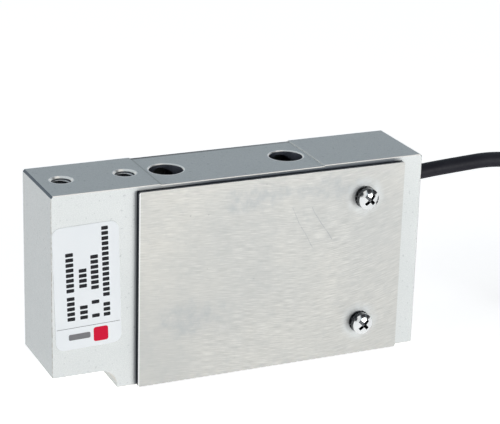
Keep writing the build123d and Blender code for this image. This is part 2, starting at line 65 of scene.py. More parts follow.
# Part of the left loop in which a turn changes place: rise inside, shift inward, sink outside
RISE_ARC = (-100.0, 0.0)
SHIFT_ARC = (-70.0, 70.0)
SINK_ARC = (0.0, 100.0)
TAIL_END = 162.5

# Surround and lamps
SKY_LOW = (0.34, 0.355, 0.37)
SKY_HIGH = (0.13, 0.15, 0.17)
CEILING = (0.56, 0.65, 0.72)
FLAG = (0.03, 0.032, 0.036)
SOFTBOX = (-0.33, -0.76, 0.56)
OVERHEAD = (0.37, -0.41, 0.84)
DARK_CARDS = [(0.39, -0.73, 0.56), (-0.58, -0.71, 0.40)]
FLOOR_GLOW = 0.8
LAMPS = [
    # name, place, point that it faces, size, power, colour
    ("key", (0.65, -1.25, 0.12), (0, 0, 0.03), 0.7, 9.7, (1.0, 1.0, 0.99)),
    ("bounce", (-0.05, -0.55, -0.25), (0, 0, 0.03), 0.5, 1.35, (1.0, 1.0, 0.99)),
    ("left_fill", (-1.4, -0.15, 0.25), (0, 0, 0.03), 0.8, 8.8, (0.98, 0.99, 1.0)),
]

# Threads of the load holes
THREAD_PITCH = 1.0
THREAD_DEPTH = 0.54
THREAD_LENGTH = 13.2
THREAD_RADIUS = 2.99
THREAD_TOP = 63.4
THREAD_START = 0.8
LOAD_HOLE_XS = (-53.3, -33.3)

# Where the block's inner faces are, in metres, and faint scratches on the covers
INNER_X = 0.0604
INNER_Y = 0.0132
INNER_TOP = 0.06335
INNER_FLOOR = 0.0072
COVER_SCRATCHES = [((15.4, 52.1), (23.3, 38.6)), ((22.5, 51.7), (29.8, 40.4))]
SCRATCH_WIDTH = 0.2
COVER_SCREWS = [(40.3, 11.2), (40.3, 53.0)]

# How far the lowest bright part of the cover screws' heads is from the middle, in metres; parts nearer the middle
# get painted shade
RECESS_FLOOR_Y = 0.0182

# Reach of a cover along X from left to right and its top, in metres
COVER_REACH = (-0.03445, 0.05385, 0.0628)
# How far the painted shadow reaches from a cover, and how far it overlaps the cover's outline, in metres
SHADE_REACH = 0.0013
SHADE_OVERLAP = 0.0001

# Lines across the top at the two ends of its recess, a painted shadow at the left end and a painted highlight at
# the right end: middle and half width, in metres
STEP_SHADOW_BAND = (-0.0267, 0.0004)
STEP_HIGHLIGHT_BAND = (0.0271, 0.00018)
RECESS_END = 0.027
# Painted shade along the rear edge of the recess: where it starts and where it is full, along Y, in metres
REAR_SHADE_Y = (0.0116, 0.0129)
CORNER_X = 0.0608
CORNER_Y = 0.0133

# Holes in the top: place along X and radius, in millimetres, and width of the painted highlight round their rims
TOP_HOLES = [(-53.3, 3.5), (-33.3, 3.5), (-20.0, 5.45), (20.0, 5.45)]
RIM_HIGHLIGHT_WIDTH = 0.35

# Cool patches on the covers, in millimetres: place along X and Z, and reach along each
COVER_PATCHES = [(2.5, 56.5, 11.0, 5.0), (-17.0, 21.0, 12.0, 7.0), (28.0, 57.0, 16.0, 4.0)]

# Print on the label, in millimetres from its centre: along its width, along its height
LABEL_CENTRE = (-49.95, -13.62, 34.75)
LABEL_TILT = 1.7
LABEL_RAISE = 0.015
LABEL_INK = 0.02
LABEL_LINES = [
    # place across, height of the blocks, then (start, number of blocks) of each run upwards
    (-5.3, 2.4, [(-10.3, 5), (-1.2, 8)]),
    (-1.3, 2.4, [(-10.3, 3), (-0.2, 4)]),
    (2.4, 2.4, [(-10.3, 1), (-5.9, 1), (-1.2, 7)]),
    (5.9, 2.1, [(-10.4, 3), (-4.0, 14)]),
]
LABEL_BLOCK_PITCH = 1.62
LABEL_BLOCK_LENGTH = 1.16
LABEL_DIVIDER_Z = -12.6
LABEL_DIVIDER = (20.0, 0.16)
LABEL_BADGE = (3.8, -15.8, 4.6)
LABEL_BAR = (-2.9, -15.6, 6.8, 1.9)


def link(obj):
    """Add an object to the scene."""
    bpy.context.scene.collection.objects.link(obj)
    return obj


def turned_frame(azimuth, elevation, roll):
    """Right, up and back of a camera that looks at the origin from azimuth and elevation."""
    a = math.radians(azimuth)
    e = math.radians(elevation)
    r = math.radians(roll)
    back = Vector((math.sin(a) * math.cos(e), -math.cos(a) * math.cos(e), math.sin(e)))
    right = (-back).cross(Vector((0, 0, 1))).normalized()
    up = right.cross(-back)
    return (
        math.cos(r) * right + math.sin(r) * up,
        -math.sin(r) * right + math.cos(r) * up,
        back,
    )


def make_camera():
    """Camera of the photograph."""
    data = bpy.data.cameras.new("camera")
    data.lens = LENS
    data.sensor_width = SENSOR_WIDTH
    data.clip_start = 0.01
    camera = link(bpy.data.objects.new("camera", data))
    right, up, back = turned_frame(CAMERA_AZIMUTH, CAMERA_ELEVATION, CAMERA_ROLL)
    turn = Matrix((right, up, back)).transposed().to_4x4()
    camera.matrix_world = Matrix.Translation(CAMERA_PLACE) @ turn
    bpy.context.scene.camera = camera


class Nodes:
    """Short way to write a material's or world's node tree."""

    def __init__(self, owner):
        owner.use_nodes = True
        self.tree = owner.node_tree
        self.tree.nodes.clear()

    def add(self, kind, inputs=None, **settings):
        """New node with its settings; an input takes a value or another node's output."""
        node = self.tree.nodes.new(kind)
        for name, value in settings.items():
            setattr(node, name, value)
        for name, value in (inputs or {}).items():
            if isinstance(value, bpy.types.NodeSocket):
                self.tree.links.new(value, node.inputs[name])
            else:
                node.inputs[name].default_value = value
        return node

    def mix(self, factor, a, b):
        """Colour between a and b."""
        node = self.add("ShaderNodeMix", data_type="RGBA")
        for index, value in ((0, factor), (6, a), (7, b)):
            if isinstance(value, bpy.types.NodeSocket):
                self.tree.links.new(value, node.inputs[index])
            else:
                node.inputs[index].default_value = value
        return node.outputs[2]

    def place(self, scale=(1, 1, 1), turn=(0, 0, 0)):
        """Object coordinates, scaled and turned."""
        where = self.add("ShaderNodeTexCoord").outputs["Object"]
        return self.add(
            "ShaderNodeMapping", {"Vector": where, "Scale": scale, "Rotation": turn}
        ).outputs["Vector"]

    def noise(self, scale, detail=3.0, rough=0.5, where=None):
        """Noise, 0 to 1."""
        inputs = {"Scale": scale, "Detail": detail, "Roughness": rough}
        inputs["Vector"] = self.place() if where is None else where
        return self.add("ShaderNodeTexNoise", inputs).outputs["Fac"]

    def fit(self, value, low, high, to_low=0.0, to_high=1.0):
        """Value brought from one range to another, and clamped."""
        inputs = {"Value": value, "From Min": low, "From Max": high}
        inputs.update({"To Min": to_low, "To Max": to_high})
        return self.add("ShaderNodeMapRange", inputs).outputs["Result"]

    def math(self, operation, a, b=0.0):
        """Sum, product and so on of two values."""
        node = self.add("ShaderNodeMath", operation=operation)
        for index, value in ((0, a), (1, b)):
            if isinstance(value, bpy.types.NodeSocket):
                self.tree.links.new(value, node.inputs[index])
            else:
                node.inputs[index].default_value = value
        return node.outputs[0]

    def bump(self, height, distance, strength=1.0, normal=None):
        """Normal from a height."""
        inputs = {"Height": height, "Distance": distance, "Strength": strength}
        if normal is not None:
            inputs["Normal"] = normal
        return self.add("ShaderNodeBump", inputs).outputs["Normal"]

    def surface(self, inputs):
        """Principled shader to the output."""
        shader = self.add("ShaderNodeBsdfPrincipled", inputs)
        out = self.add("ShaderNodeOutputMaterial")
        self.tree.links.new(shader.outputs[0], out.inputs["Surface"])


def rgba(red, green, blue):
    """Colour with full alpha."""
    return (red, green, blue, 1.0)


def material(name):
    """New material and its node writer."""
    made = bpy.data.materials.new(name)
    return made, Nodes(made)


def inside_mask(n):
    """1 on the block's machined inner faces: bores, threads, window and slots."""
    axes = n.add("ShaderNodeSeparateXYZ", {"Vector": n.place()})
    across = n.math("LESS_THAN", n.math("ABSOLUTE", axes.outputs["Y"]), INNER_Y)
    along = n.math("LESS_THAN", n.math("ABSOLUTE", axes.outputs["X"]), INNER_X)
    below = n.math("LESS_THAN", axes.outputs["Z"], INNER_TOP)
    above = n.math("GREATER_THAN", axes.outputs["Z"], INNER_FLOOR)
    return n.math("MULTIPLY", n.math("MULTIPLY", across, along), n.math("MULTIPLY", below, above))


def chamfer_masks(n):
    """1 on the chamfers over the end faces, and 1 on the fine breaks of sides and holes."""
    axes = n.add("ShaderNodeSeparateXYZ", {"Vector": n.place()}).outputs
    facing = n.add("ShaderNodeNewGeometry").outputs["True Normal"]
    tilt = n.add("ShaderNodeSeparateXYZ", {"Vector": facing}).outputs["Z"]
    slanted = n.math("MULTIPLY", n.math("LESS_THAN", tilt, 0.9), n.math("GREATER_THAN", tilt, 0.4))
    slanted = n.math("MULTIPLY", slanted, n.math("GREATER_THAN", axes["Z"], INNER_TOP))
    endwise = n.math("GREATER_THAN", n.math("ABSOLUTE", axes["X"]), INNER_X)
    end_chamfers = n.math("MULTIPLY", slanted, endwise)
    return end_chamfers, n.math("SUBTRACT", slanted, end_chamfers)


def under_covers_shade_mask(n):
    """1 on the block's front and back faces where a cover lies over them, painted near black as the shade in the
    gap behind it.
    """
    axes = n.add("ShaderNodeSeparateXYZ", {"Vector": n.place()}).outputs
    low, high, top = COVER_REACH
    along = n.math("MULTIPLY", n.math("GREATER_THAN", axes["X"], low), n.math("LESS_THAN", axes["X"], high))
    outside = n.math("GREATER_THAN", n.math("ABSOLUTE", axes["Y"]), INNER_Y)
    under = n.math("MULTIPLY", along, n.math("LESS_THAN", axes["Z"], top))
    return n.math("MULTIPLY", under, outside)


def band_mask(n, middle, half_width):
    """1 in a narrow band across the block's top, at one place along X."""
    axes = n.add("ShaderNodeSeparateXYZ", {"Vector": n.place()}).outputs
    near = n.math("ABSOLUTE", n.math("SUBTRACT", axes["X"], middle))
    band = n.math("LESS_THAN", near, half_width)
    return n.math("MULTIPLY", band, n.math("GREATER_THAN", axes["Z"], INNER_TOP))


def rim_highlight_mask(n):
    """1 in a narrow ring round each hole in the block's top, where a bright rim is painted as a highlight."""
    axes = n.add("ShaderNodeSeparateXYZ", {"Vector": n.place()}).outputs
    rims = 0.0
    for x, radius in TOP_HOLES:
        across = n.math("POWER", n.math("SUBTRACT", axes["X"], x * MM), 2.0)
        distance = n.math("SQRT", n.math("ADD", across, n.math("POWER", axes["Y"], 2.0)))
        middle = (radius + RIM_HIGHLIGHT_WIDTH / 2) * MM
        off = n.math("ABSOLUTE", n.math("SUBTRACT", distance, middle))
        rims = n.math("MAXIMUM", n.math("LESS_THAN", off, RIM_HIGHLIGHT_WIDTH / 2 * MM), rims)
    return n.math("MULTIPLY", rims, n.math("GREATER_THAN", axes["Z"], INNER_TOP))


def cover_shade_mask(n):
    """Painted shadow on the block's faces close above a cover and close beside its left edge."""
    axes = n.add("ShaderNodeSeparateXYZ", {"Vector": n.place()}).outputs
    low, high, top = COVER_REACH
    above = n.fit(axes["Z"], top, top + SHADE_REACH, 1.0, 0.6)
    above = n.math("MULTIPLY", above, n.math("GREATER_THAN", axes["Z"], top - SHADE_OVERLAP))
    above = n.math("MULTIPLY", above, n.fit(axes["X"], low, low + 0.024, 0.12, 1.0))
    above = n.math("MULTIPLY", above, n.math("GREATER_THAN", axes["X"], low))
    above = n.math("MULTIPLY", above, n.fit(axes["X"], high - 0.003, high, 1.0, 0.0))
    beside = n.fit(axes["X"], low - 0.7 * SHADE_REACH, low, 0.0, 0.7)
    beside = n.math("MULTIPLY", beside, n.math("LESS_THAN", axes["X"], low + SHADE_OVERLAP))
    beside = n.math("MULTIPLY", beside, n.math("LESS_THAN", axes["Z"], top))
    outside = n.math("GREATER_THAN", n.math("ABSOLUTE", axes["Y"]), INNER_Y)
    return n.math("MULTIPLY", n.math("MAXIMUM", above, beside), outside)


def rear_edge_shade_mask(n):
    """1 on the rear edge of the block's top, along its recess, where painted shade darkens it."""
    axes = n.add("ShaderNodeSeparateXYZ", {"Vector": n.place()}).outputs
    rear = n.fit(axes["Y"], *REAR_SHADE_Y)
    within = n.math("LESS_THAN", n.math("ABSOLUTE", axes["X"]), RECESS_END)
    upper = n.math("GREATER_THAN", axes["Z"], INNER_TOP)
    faded = n.fit(axes["X"], -RECESS_END, RECESS_END, 1.0, 0.45)
    return n.math("MULTIPLY", n.math("MULTIPLY", rear, within), n.math("MULTIPLY", upper, faded))


def corner_mask(n):
    """1 on the block's four upright edges."""
    axes = n.add("ShaderNodeSeparateXYZ", {"Vector": n.place()}).outputs
    endwise = n.math("GREATER_THAN", n.math("ABSOLUTE", axes["X"]), CORNER_X)
    return n.math("MULTIPLY", endwise, n.math("GREATER_THAN", n.math("ABSOLUTE", axes["Y"]), CORNER_Y))


def underside_light_mask(n):
    """1 on faces that look down, such as the round corner of the notch, where lighter colour is painted light from
    below.
    """
    facing = n.add("ShaderNodeNewGeometry").outputs["True Normal"]
    tilt = n.add("ShaderNodeSeparateXYZ", {"Vector": facing}).outputs["Z"]
    low = n.math("LESS_THAN", n.add("ShaderNodeSeparateXYZ", {"Vector": n.place()}).outputs["Z"], INNER_FLOOR)
    return n.math("MULTIPLY", n.fit(tilt, -0.25, -0.08, 1.0, 0.0), low)


def edge_mask(n):
    """1 on faces that look neither to the front nor to the back."""
    facing = n.add("ShaderNodeNewGeometry").outputs["True Normal"]
    turned = n.add("ShaderNodeSeparateXYZ", {"Vector": facing}).outputs["Y"]
    return n.math("LESS_THAN", n.math("ABSOLUTE", turned), 0.5)


def anodised_aluminium():
    """Fine matt aluminium: a tight grain, faint handling marks and bare edges, with painted highlights on edges,
    hole rims and the right step, painted light on the underside, a painted dark reflection on the end chamfers, and
    painted shade in the bores, round the covers and along the recess.
    """
    made, n = material("anodised_aluminium")
    grain = n.noise(3400, 2.0, 0.6)
    cloud = n.noise(55, 4.0, 0.6)
    spots = n.noise(900, 2.0, 0.5)
    inside = inside_mask(n)
    end_chamfers, broken = chamfer_masks(n)
    tone = n.mix(n.fit(cloud, 0.35, 0.7), rgba(0.545, 0.565, 0.56), rgba(0.585, 0.60, 0.595))
    tone = n.mix(n.fit(grain, 0.5, 0.72, 0.0, 0.5), tone, rgba(0.70, 0.71, 0.70))
    tone = n.mix(n.fit(grain, 0.3, 0.5, 0.4, 0.0), tone, rgba(0.44, 0.46, 0.46))
    tone = n.mix(n.fit(spots, 0.66, 0.72, 0.0, 0.4), tone, rgba(0.30, 0.32, 0.33))
    # Painted shade: bores, window and slots darkened where little light reaches inside
    tone = n.mix(inside, tone, rgba(0.12, 0.132, 0.162))
    # Painted shadow at the left step of the recess and painted highlight at its right step, as bands on the top
    tone = n.mix(n.math("MULTIPLY", band_mask(n, *STEP_SHADOW_BAND), 0.45), tone, rgba(0.25, 0.27, 0.24))
    tone = n.mix(n.math("MULTIPLY", band_mask(n, *STEP_HIGHLIGHT_BAND), 0.45), tone, rgba(0.90, 0.90, 0.86))
    # Painted shade: the block's faces behind the covers near black, as the gap's shade
    tone = n.mix(under_covers_shade_mask(n), tone, rgba(0.03, 0.034, 0.042))
    # Painted light: faces that look down made lighter and warmer, as if lit from below
    tone = n.mix(underside_light_mask(n), tone, rgba(0.66, 0.65, 0.61))
    # Painted shadow close above and beside each cover
    tone = n.mix(cover_shade_mask(n), tone, rgba(0.07, 0.085, 0.105))
    tone = n.mix(n.math("MULTIPLY", corner_mask(n), n.fit(spots, 0.4, 0.6, 0.2, 0.8)), tone, rgba(0.34, 0.31, 0.27))
    # Painted reflection: the chamfers over the end faces darkened for the dark surround that they mirror
    tone = n.mix(end_chamfers, tone, rgba(0.13, 0.15, 0.17))
    # Painted highlight: a bright ring round each hole in the top
    tone = n.mix(rim_highlight_mask(n), tone, rgba(0.92, 0.92, 0.90))
    # Bare edge breaks, lightened further as a painted highlight where the edges catch the light
    tone = n.mix(broken, tone, rgba(1.0, 0.97, 0.91))
    # Painted shade: a dark line along the rear edge of the recess, with little reflection
    rear_shade = rear_edge_shade_mask(n)
    tone = n.mix(rear_shade, tone, rgba(0.02, 0.023, 0.025))
    rough = n.fit(cloud, 0.3, 0.7, 0.44, 0.54)
    rough = n.math("SUBTRACT", rough, n.math("MULTIPLY", broken, 0.3))
    broken = n.math("MULTIPLY", broken, n.math("SUBTRACT", 1.0, rear_shade))
    shine = n.math("MAXIMUM", end_chamfers, n.math("MULTIPLY", broken, 0.55))
    shine = n.math("MAXIMUM", shine, n.math("MULTIPLY", inside, 0.8))
    n.surface(
        {
            "Base Color": tone,
            "Metallic": n.math("MAXIMUM", shine, 0.5),
            "Roughness": rough,
            "Specular IOR Level": n.fit(rear_shade, 0.0, 1.0, 0.5, 0.05),
            "Normal": n.bump(grain, 0.00002, 0.35),
        }
    )
    return made


def brushed_cover():
    """Cover plate with short brush marks, cloudy patches, worn rings, scratches and specks, a painted highlight
    along its left edge and painted shade on its edge faces.
    """
    made, n = material("brushed_cover")
    along = n.add("ShaderNodeSeparateXYZ", {"Vector": n.place()}).outputs["X"]
    bend = n.math("MULTIPLY", n.math("POWER", n.fit(along, 0.012, 0.054), 2.0), -0.009)
    sway = n.math("MULTIPLY", n.math("SUBTRACT", n.noise(22, 2.0), 0.5), 0.003)
    lean = n.math("MULTIPLY", along, 0.1)
    shift = n.add("ShaderNodeCombineXYZ", {"Z": n.math("ADD", lean, n.math("ADD", bend, sway))})
    where = n.add("ShaderNodeVectorMath", operation="ADD")
    n.tree.links.new(n.place(), where.inputs[0])
    n.tree.links.new(shift.outputs[0], where.inputs[1])
    swayed = where.outputs[0]

    def stretched(along, up):
        scale = {"Vector": swayed, "Scale": (along, 1, up)}
        return n.add("ShaderNodeMapping", scale).outputs["Vector"]

    fine = n.noise(1.0, 3.0, 0.6, stretched(220, 3900))
    wide = n.noise(1.0, 2.0, 0.6, stretched(60, 700))
    cloud = n.noise(30, 4.0, 0.55)
    mottle = n.noise(420, 3.0, 0.65)
    specks = n.noise(700, 1.0, 0.4)
    marked = n.fit(n.noise(26, 2.0), 0.4, 0.6, 0.55, 1.0)
    marked = n.math("MULTIPLY", marked, n.fit(along, COVER_REACH[0], -0.005, 0.45, 1.0))
    tone = n.mix(n.fit(cloud, 0.38, 0.62), rgba(0.47, 0.47, 0.45), rgba(0.535, 0.525, 0.49))
    light = n.math("MULTIPLY", n.fit(fine, 0.5, 0.66, 0.0, 0.75), marked)
    dark = n.math("MULTIPLY", n.fit(fine, 0.34, 0.48, 0.6, 0.0), marked)
    tone = n.mix(light, tone, rgba(0.72, 0.705, 0.66))
    tone = n.mix(dark, tone, rgba(0.32, 0.315, 0.30))
    tone = n.mix(n.fit(wide, 0.32, 0.52, 0.22, 0.0), tone, rgba(0.40, 0.40, 0.385))
    tone = n.mix(n.fit(mottle, 0.5, 0.7, 0.0, 0.2), tone, rgba(0.36, 0.375, 0.38))
    tone = n.mix(n.fit(specks, 0.77, 0.80, 0.0, 0.45), tone, rgba(0.25, 0.25, 0.25))
    tone = n.mix(n.fit(along, -0.03, 0.055, 0.0, 0.22), tone, rgba(0.41, 0.42, 0.425))
    for patch in COVER_PATCHES:
        cool = n.math("MULTIPLY", patch_mask(n, *patch), n.fit(mottle, 0.35, 0.65, 0.05, 0.5))
        tone = n.mix(cool, tone, rgba(0.35, 0.37, 0.385))
    up = n.add("ShaderNodeSeparateXYZ", {"Vector": n.place()}).outputs["Z"]
    tone = n.mix(n.fit(up, 0.0, 0.04, 0.3, 0.0), tone, rgba(0.40, 0.405, 0.395))
    # Painted highlight: a bright line along the cover's left edge, where its rounded edge catches the light
    edge_highlight = n.fit(along, COVER_REACH[0] + 0.0003, COVER_REACH[0] + 0.0005, 0.7, 0.0)
    tone = n.mix(edge_highlight, tone, rgba(0.85, 0.86, 0.85))
    for x, z in COVER_SCREWS:
        worn = n.math("MULTIPLY", ring_mask(n, x, z), n.fit(mottle, 0.3, 0.62, 0.15, 0.85))
        tone = n.mix(worn, tone, rgba(0.66, 0.69, 0.70))
    for start, end in COVER_SCRATCHES:
        tone = n.mix(scratch_mask(n, start, end), tone, rgba(0.30, 0.31, 0.33))
    # Painted shade: the cover's edge faces near black, as the shade of the gap under it
    edge = edge_mask(n)
    tone = n.mix(edge, tone, rgba(0.035, 0.04, 0.05))
    n.surface(
        {
            "Base Color": tone,
            "Metallic": 0.45,
            "Roughness": n.fit(fine, 0.3, 0.7, 0.36, 0.5),
            "Normal": n.bump(fine, 0.00002, 0.4),
        }
    )
    return made


def patch_mask(n, x, z, reach_x, reach_z):
    """1 in the middle of an oval patch, fading to 0 at its ragged rim."""
    axes = n.add("ShaderNodeSeparateXYZ", {"Vector": n.place()}).outputs
    across = n.math("DIVIDE", n.math("SUBTRACT", axes["X"], x * MM), reach_x * MM)
    up = n.math("DIVIDE", n.math("SUBTRACT", axes["Z"], z * MM), reach_z * MM)
    distance = n.math("ADD", n.math("POWER", across, 2.0), n.math("POWER", up, 2.0))
    ragged = n.math("ADD", distance, n.fit(n.noise(130, 3.0), 0.3, 0.7, -0.5, 0.5))
    return n.fit(ragged, 0.3, 1.1, 1.0, 0.0)


def ring_mask(n, x, z):
    """1 close round a cover screw, fading outwards, in millimetres along X and Z."""
    axes = n.add("ShaderNodeSeparateXYZ", {"Vector": n.place()})
    across = n.math("POWER", n.math("SUBTRACT", axes.outputs["X"], x * MM), 2.0)
    up = n.math("POWER", n.math("SUBTRACT", axes.outputs["Z"], z * MM), 2.0)
    distance = n.math("SQRT", n.math("ADD", across, up))
    return n.fit(distance, 4.6 * MM, 7.0 * MM, 0.65, 0.0)


def scratch_mask(n, start, end):
    """Faint thin line between two points of a side view, in millimetres along X and Z."""
    low = Vector((start[0], start[1])) * MM
    run = Vector((end[0], end[1])) * MM - low
    length = run.length
    run.normalize()
    axes = n.add("ShaderNodeSeparateXYZ", {"Vector": n.place()})
    x = n.math("SUBTRACT", axes.outputs["X"], low.x)
    z = n.math("SUBTRACT", axes.outputs["Z"], low.y)
    along = n.math("ADD", n.math("MULTIPLY", x, run.x), n.math("MULTIPLY", z, run.y))
    off = n.math("SUBTRACT", n.math("MULTIPLY", x, run.y), n.math("MULTIPLY", z, run.x))
    bow = n.math("MULTIPLY", n.math("SUBTRACT", n.noise(60, 2.0), 0.5), 0.004)
    off = n.math("ABSOLUTE", n.math("ADD", off, bow))
    line = n.math("LESS_THAN", off, SCRATCH_WIDTH / 2 * MM)
    inside = n.math("LESS_THAN", n.math("ABSOLUTE", n.math("SUBTRACT", along, length / 2)), length / 2)
    strength = n.fit(n.noise(900, 2.0), 0.35, 0.6, 0.3, 0.85)
    return n.math("MULTIPLY", n.math("MULTIPLY", line, inside), strength)


def plain_metal(name, colour, rough, metallic=1.0):
    """Turned or plated metal with fine marks."""
    made, n = material(name)
    marks = n.noise(2600, 3.0, 0.6)
    dark = [0.8 * part for part in colour]
    tone = n.mix(n.fit(marks, 0.35, 0.7), rgba(*dark), rgba(*colour))
    n.surface(
        {
            "Base Color": tone,
            "Metallic": metallic,
            "Roughness": n.fit(marks, 0.3, 0.7, 0.7 * rough, 1.3 * rough),
            "Normal": n.bump(marks, 0.00002, 0.15),
        }
    )
    return made


def cut_thread():
    """Cut thread: a painted highlight on its crests near the top, and painted shade in its grooves and lower down.
    """
    made, n = material("cut_thread")
    axes = n.add("ShaderNodeSeparateXYZ", {"Vector": n.place()}).outputs
    middle = sum(LOAD_HOLE_XS) / 2 * MM
    half_pitch = (LOAD_HOLE_XS[1] - LOAD_HOLE_XS[0]) / 2 * MM
    off = n.math("ABSOLUTE", n.math("SUBTRACT", axes["X"], middle))
    across = n.math("POWER", n.math("SUBTRACT", off, half_pitch), 2.0)
    radius = n.math("SQRT", n.math("ADD", across, n.math("POWER", axes["Y"], 2.0)))
    inner = (THREAD_RADIUS - THREAD_DEPTH) * MM
    crest = n.fit(radius, inner, (THREAD_RADIUS - 0.2 * THREAD_DEPTH) * MM, 1.0, 0.0)
    lit = n.fit(axes["Z"], (THREAD_TOP - 1.25) * MM, (THREAD_TOP - 0.8) * MM)
    # Painted highlight on the upper crests, painted shade everywhere else
    tone = n.mix(n.math("MULTIPLY", crest, lit), rgba(0.02, 0.022, 0.028), rgba(0.95, 0.96, 0.96))
    n.surface({"Base Color": tone, "Metallic": 0.7, "Roughness": n.fit(n.noise(2600), 0.3, 0.7, 0.35, 0.5)})
    return made


def fastener_steel(name, colour, rough):
    """Plated steel, bright where it is polished, with a painted dark reflection round its sides and painted shade
    on parts closer to the block than the recess floor.
    """
    made, n = material(name)
    marks = n.noise(1500, 3.0, 0.6)
    facing = n.add("ShaderNodeNewGeometry").outputs["True Normal"]
    turned = n.add("ShaderNodeSeparateXYZ", {"Vector": facing}).outputs["Y"]
    # Painted dark reflection round the sides, and painted shade closer to the block than the recess floor
    side = n.fit(n.math("ABSOLUTE", turned), 0.5, 0.7, 1.0, 0.0)
    depth = n.math("ABSOLUTE", n.add("ShaderNodeSeparateXYZ", {"Vector": n.place()}).outputs["Y"])
    side = n.math("MAXIMUM", side, n.math("LESS_THAN", depth, RECESS_FLOOR_Y))
    painted_dark = n.mix(n.fit(marks, 0.45, 0.6), rgba(0.03, 0.033, 0.04), rgba(0.20, 0.205, 0.21))
    n.surface(
        {
            "Base Color": n.mix(side, rgba(*colour), painted_dark),
            "Metallic": 1.0,
            "Roughness": n.fit(marks, 0.3, 0.7, 0.7 * rough, 1.3 * rough),
            "Normal": n.bump(marks, 0.00002, 0.15),
        }
    )
    return made


def plastic(name, colour, rough, grain_scale=3000, grain=0.15, coat=0.0, gloss=0.5):
    """Moulded or drawn plastic with a faint grain."""
    made, n = material(name)
    fine = n.noise(grain_scale, 3.0, 0.6)
    wide = n.noise(90, 3.0, 0.5)
    pale = [min(1.0, 1.25 * part + 0.01) for part in colour]
    tone = n.mix(n.fit(wide, 0.35, 0.7), rgba(*colour), rgba(*pale))
    n.surface(
        {
            "Base Color": tone,
            "Roughness": n.fit(fine, 0.3, 0.7, 0.85 * rough, 1.15 * rough),
            "Coat Weight": coat,
            "Specular IOR Level": gloss,
            "Normal": n.bump(fine, 0.00003, grain),
        }
    )
    return made


def label_film():
    """Satin film of the label with a slight waviness."""
    made, n = material("label_film")
    wave = n.noise(70, 2.0, 0.5)
    fibre = n.noise(4000, 2.0, 0.6)
    tone = n.mix(n.fit(wave, 0.3, 0.7), rgba(0.84, 0.865, 0.885), rgba(0.87, 0.89, 0.905))
    n.surface(
        {
            "Base Color": tone,
            "Roughness": n.fit(fibre, 0.3, 0.7, 0.42, 0.5),
            "Normal": n.bump(wave, 0.0001, 0.15),
        }
    )
    return made


def ink(name, colour):
    """Printing ink with slight wear."""
    made, n = material(name)
    wear = n.noise(6000, 3.0, 0.6)
    pale = [min(1.0, part + 0.04) for part in colour]
    tone = n.mix(n.fit(wear, 0.6, 0.85), rgba(*colour), rgba(*pale))
    n.surface({"Base Color": tone, "Roughness": 0.5, "Specular IOR Level": 0.15})
    return made


def dress(node, made):
    """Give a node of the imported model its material."""
    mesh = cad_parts[node].data
    mesh.materials.clear()
    mesh.materials.append(made)


def new_mesh(name, points, faces, made, smooth=True):
    """Mesh object that rides on the load cell."""
    mesh = bpy.data.meshes.new(name)
    mesh.from_pydata([Vector(p) * MM for p in points], [], faces)
    mesh.polygons.foreach_set("use_smooth", [smooth] * len(mesh.polygons))
    mesh.materials.append(made)
    obj = link(bpy.data.objects.new(name, mesh))
    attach(obj, "root")
    return obj


def ease(value, low, high):
    """0 before low, 1 after high, smooth in between."""
    t = min(1.0, max(0.0, (value - low) / (high - low)))
    return t * t * (3 - 2 * t)


def loop_angles():
    """Angles of the points round an end loop, from one side of the hank to the other."""
    step = 2 * LOOP_REACH / (LOOP_POINTS - 1)
    return [-LOOP_REACH + step * i for i in range(LOOP_POINTS)]


def loop_point(side, angle, column, layer, turn):
    """Point of a turn in an end loop; column and layer may be between two places."""
    wide = 1 / math.cos(math.radians(LOOP_REACH / (LOOP_POINTS - 1)))
    radius = LOOP_RADII[0] + (LOOP_RADII[1] - LOOP_RADII[0]) * column
    radius = radius * wide + 0.16 * math.sin(2.1 * turn + 1.3 * side)
    a = math.radians(angle)
    x = HANK_X + side * (HANK_HALF_RUN + radius * math.cos(a))
    y = HANK_Y + radius * math.sin(a)
    return (x, y, LAYER_FLOOR - LOOP_SAG + CABLE_DIAMETER * layer)


def waist_point(x, side_y, column, layer):
    """Point of a turn beside the tie."""
    y = HANK_Y + side_y * WAIST_OFFSETS[column]
    return (HANK_X + x, y, LAYER_FLOOR + CABLE_DIAMETER * layer)


def run_point(corner, onward, before):
    """Point on the run from a loop's end corner, as far from it as the loop's next point is."""
    reach = math.dist(corner, before)
    share = reach / math.dist(corner, onward)
    return tuple(c + share * (o - c) for c, o in zip(corner, onward))


def hank_points():
    """Control points of the wound cable: out on the rear side, round, and back on the front."""
    points = []
    for turn, (column, layer) in enumerate(HANK_TURNS):
        last = turn == len(HANK_TURNS) - 1
        if turn > 0:
            points.append(waist_point(-HANK_WAIST, 1, column, layer))
        points.append(waist_point(HANK_WAIST, 1, column, layer))
        loop = [loop_point(1, angle, column, layer, turn) for angle in reversed(loop_angles())]
        points.append(run_point(loop[0], points[-1], loop[1]))
        points += loop
        onward = waist_point(HANK_WAIST, -1, column, layer)
        points.append(run_point(loop[-1], onward, loop[-2]))
        points.append(onward)
        if last:
            break
        points.append(waist_point(-HANK_WAIST, -1, column, layer))
        next_column, next_layer = HANK_TURNS[turn + 1]
        loop = []
        for angle in loop_angles():
            if next_column != column:
                moved = ease(angle, *SHIFT_ARC)
            elif next_layer > layer:
                moved = ease(angle, *RISE_ARC)
            else:
                moved = ease(angle, *SINK_ARC)
            loop.append(
                loop_point(
                    -1,
                    angle,
                    column + (next_column - column) * moved,
                    layer + (next_layer - layer) * moved,
                    turn,
                )
            )
        points.append(run_point(loop[0], points[-1], loop[1]))
        points += loop
        onward = waist_point(-HANK_WAIST, 1, next_column, next_layer)
        points.append(run_point(loop[-1], onward, loop[-2]))
    return points


